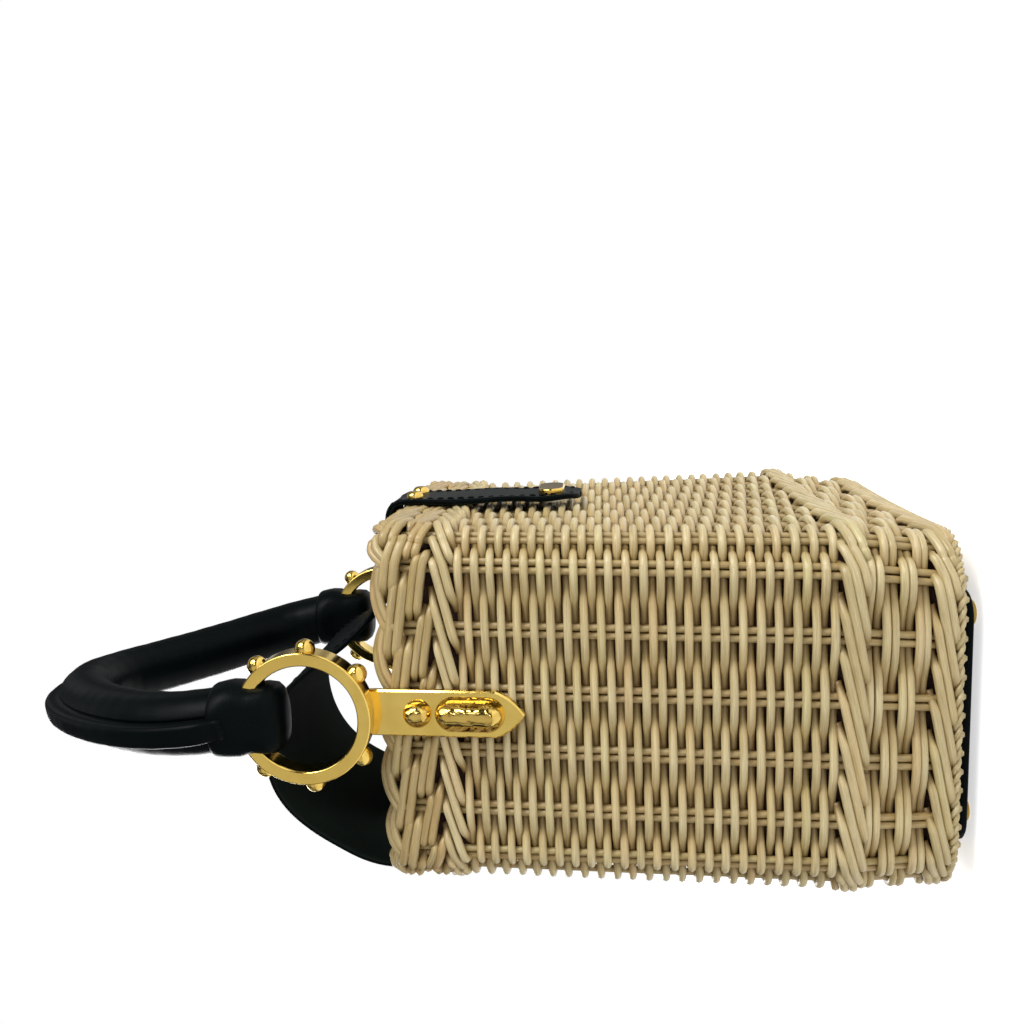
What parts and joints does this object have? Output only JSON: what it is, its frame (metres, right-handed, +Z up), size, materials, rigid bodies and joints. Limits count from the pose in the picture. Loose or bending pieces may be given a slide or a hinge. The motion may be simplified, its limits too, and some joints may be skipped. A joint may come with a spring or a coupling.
{
  "type": "basket handbag",
  "caption": "Woven cane box bag with a leather flap and tongue, two hoop rings on side plates and a rolled leather top handle.",
  "frame": {"origin": "on the ground under the middle of the bag", "axes": "+Z up, X along the width, the front with the tongue faces -Y"},
  "size_m": [0.17, 0.1264, 0.3183],
  "materials": {
    "cane": "peeled cane, semi-gloss",
    "lining_cloth": "plain woven",
    "black_leather": "smooth satin",
    "gold_metal": "polished",
    "steel": "plain",
    "cord_core": "twisted cord"
  },
  "bodies": {
    "basket": {"base_wale": "cane", "lower_weave": "cane", "bend_wale": "cane", "main_weave": "cane", "top_wale": "cane", "rim_border": "cane", "basket_base": "cane", "lining": "lining_cloth", "base_patch": "black_leather", "feet": "gold_metal", "back_panel": "black_leather", "back_rivets": "gold_metal", "closure_keeper": "steel", "plate_left": "gold_metal", "plate_right": "gold_metal", "ring_left": "gold_metal", "ring_right": "gold_metal", "ring_studs_left": "gold_metal", "ring_studs_right": "gold_metal", "plate_rivets": "gold_metal", "plate_bosses": "gold_metal", "backing_plates": "steel"},
    "flap": {"flap": "black_leather", "tongue_studs": "gold_metal", "closure_plate": "gold_metal", "closure_magnet": "steel"},
    "handle": {"handle_leather": "black_leather", "handle_core": "cord_core", "loop_left": "black_leather", "loop_right": "black_leather"}
  },
  "joints": [
    {"name": "flap_hinge", "type": "hinge", "parent": "basket", "child": "flap", "pos_m": [0, 0.062, 0.1744], "axis": [-1, 0, 0], "range_deg": [0, 60]},
    {"name": "handle_swing", "type": "hinge", "parent": "basket", "child": "handle", "pos_m": [0, 0, 0.2035], "axis": [1, 0, 0], "range_deg": [-9, 9]}
  ]
}
